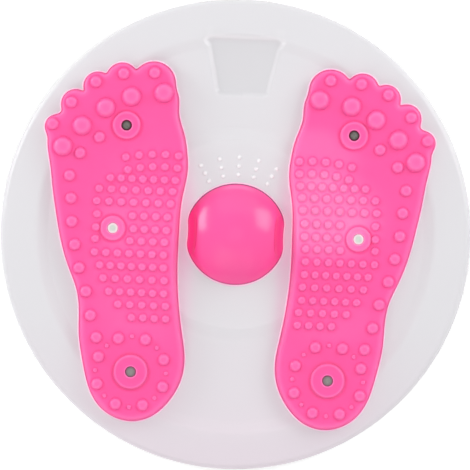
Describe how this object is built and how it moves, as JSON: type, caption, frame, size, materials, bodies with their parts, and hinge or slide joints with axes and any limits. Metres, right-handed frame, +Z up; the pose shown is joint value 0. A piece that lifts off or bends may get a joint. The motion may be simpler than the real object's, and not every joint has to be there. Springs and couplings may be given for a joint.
{
  "type": "waist twisting disc",
  "caption": "Round waist twisting disc: two nubbed foot pads and a domed cap on a turntable that spins on balls over a ribbed base.",
  "frame": {"origin": "centre of the disc at floor level, under the rubber feet", "axes": "+Z up along the pivot, +Y towards the toes, +X towards the right foot"},
  "size_m": [0.285, 0.285, 0.0432],
  "materials": {
    "disc_white": "satin moulded",
    "base_grey": "fine moulded texture",
    "cage_nylon": "natural nylon",
    "zinc_steel": "zinc plated",
    "bush_nylon": "natural nylon",
    "cap_pink": "satin moulded",
    "pad_pink": "soft satin",
    "magnet_plate": "nickel plated",
    "ball_steel": "polished",
    "foot_rubber": "matt"
  },
  "bodies": {
    "base": {"base_plate": "base_grey", "pivot_bolt": "zinc_steel", "pivot_nut": "zinc_steel", "nut_washer": "zinc_steel", "thrust_washer": "bush_nylon", "head_washer": "zinc_steel", "rubber_foot_1": "foot_rubber", "rubber_foot_2": "foot_rubber", "rubber_foot_3": "foot_rubber", "rubber_foot_4": "foot_rubber", "rubber_foot_5": "foot_rubber", "rubber_foot_6": "foot_rubber"},
    "turntable": {"top_disc": "disc_white", "pivot_bush": "bush_nylon", "centre_cap": "cap_pink", "right_foot_pad": "pad_pink", "left_foot_pad": "pad_pink", "right_pad_screws": "zinc_steel", "left_pad_screws": "zinc_steel", "right_front_magnet": "magnet_plate", "right_arch_magnet": "magnet_plate", "right_heel_magnet": "magnet_plate", "left_front_magnet": "magnet_plate", "left_arch_magnet": "magnet_plate", "left_heel_magnet": "magnet_plate"},
    "cage": {"ball_cage": "cage_nylon"},
    "ball_01": {"ball_01": "ball_steel"},
    "ball_02": {"ball_02": "ball_steel"},
    "ball_03": {"ball_03": "ball_steel"},
    "ball_04": {"ball_04": "ball_steel"},
    "ball_05": {"ball_05": "ball_steel"},
    "ball_06": {"ball_06": "ball_steel"},
    "ball_07": {"ball_07": "ball_steel"},
    "ball_08": {"ball_08": "ball_steel"},
    "ball_09": {"ball_09": "ball_steel"},
    "ball_10": {"ball_10": "ball_steel"},
    "ball_11": {"ball_11": "ball_steel"},
    "ball_12": {"ball_12": "ball_steel"}
  },
  "joints": [
    {"name": "disc_spin", "type": "hinge", "parent": "base", "child": "turntable", "pos_m": [0, 0, 0.023], "axis": [0, 0, 1], "continuous": true},
    {"name": "cage_orbit", "type": "hinge", "parent": "base", "child": "cage", "pos_m": [0, 0, 0.017], "axis": [0, 0, 1], "continuous": true},
    {"name": "ball_01_roll", "type": "hinge", "parent": "cage", "child": "ball_01", "pos_m": [0.08114, 0.02174, 0.017], "axis": [0.9659, 0.2588, 0], "continuous": true},
    {"name": "ball_02_roll", "type": "hinge", "parent": "cage", "child": "ball_02", "pos_m": [0.0594, 0.0594, 0.017], "axis": [0.7071, 0.7071, 0], "continuous": true},
    {"name": "ball_03_roll", "type": "hinge", "parent": "cage", "child": "ball_03", "pos_m": [0.02174, 0.08114, 0.017], "axis": [0.2588, 0.9659, 0], "continuous": true},
    {"name": "ball_04_roll", "type": "hinge", "parent": "cage", "child": "ball_04", "pos_m": [-0.02174, 0.08114, 0.017], "axis": [-0.2588, 0.9659, 0], "continuous": true},
    {"name": "ball_05_roll", "type": "hinge", "parent": "cage", "child": "ball_05", "pos_m": [-0.0594, 0.0594, 0.017], "axis": [-0.7071, 0.7071, 0], "continuous": true},
    {"name": "ball_06_roll", "type": "hinge", "parent": "cage", "child": "ball_06", "pos_m": [-0.08114, 0.02174, 0.017], "axis": [-0.9659, 0.2588, 0], "continuous": true},
    {"name": "ball_07_roll", "type": "hinge", "parent": "cage", "child": "ball_07", "pos_m": [-0.08114, -0.02174, 0.017], "axis": [-0.9659, -0.2588, 0], "continuous": true},
    {"name": "ball_08_roll", "type": "hinge", "parent": "cage", "child": "ball_08", "pos_m": [-0.0594, -0.0594, 0.017], "axis": [-0.7071, -0.7071, 0], "continuous": true},
    {"name": "ball_09_roll", "type": "hinge", "parent": "cage", "child": "ball_09", "pos_m": [-0.02174, -0.08114, 0.017], "axis": [-0.2588, -0.9659, 0], "continuous": true},
    {"name": "ball_10_roll", "type": "hinge", "parent": "cage", "child": "ball_10", "pos_m": [0.02174, -0.08114, 0.017], "axis": [0.2588, -0.9659, 0], "continuous": true},
    {"name": "ball_11_roll", "type": "hinge", "parent": "cage", "child": "ball_11", "pos_m": [0.0594, -0.0594, 0.017], "axis": [0.7071, -0.7071, 0], "continuous": true},
    {"name": "ball_12_roll", "type": "hinge", "parent": "cage", "child": "ball_12", "pos_m": [0.08114, -0.02174, 0.017], "axis": [0.9659, -0.2588, 0], "continuous": true}
  ],
  "couplings": [
    {"joint": "cage_orbit", "follows": "disc_spin", "ratio": 0.5},
    {"joint": "ball_01_roll", "follows": "disc_spin", "ratio": -10.5},
    {"joint": "ball_02_roll", "follows": "disc_spin", "ratio": -10.5},
    {"joint": "ball_03_roll", "follows": "disc_spin", "ratio": -10.5},
    {"joint": "ball_04_roll", "follows": "disc_spin", "ratio": -10.5},
    {"joint": "ball_05_roll", "follows": "disc_spin", "ratio": -10.5},
    {"joint": "ball_06_roll", "follows": "disc_spin", "ratio": -10.5},
    {"joint": "ball_07_roll", "follows": "disc_spin", "ratio": -10.5},
    {"joint": "ball_08_roll", "follows": "disc_spin", "ratio": -10.5},
    {"joint": "ball_09_roll", "follows": "disc_spin", "ratio": -10.5},
    {"joint": "ball_10_roll", "follows": "disc_spin", "ratio": -10.5},
    {"joint": "ball_11_roll", "follows": "disc_spin", "ratio": -10.5},
    {"joint": "ball_12_roll", "follows": "disc_spin", "ratio": -10.5}
  ]
}
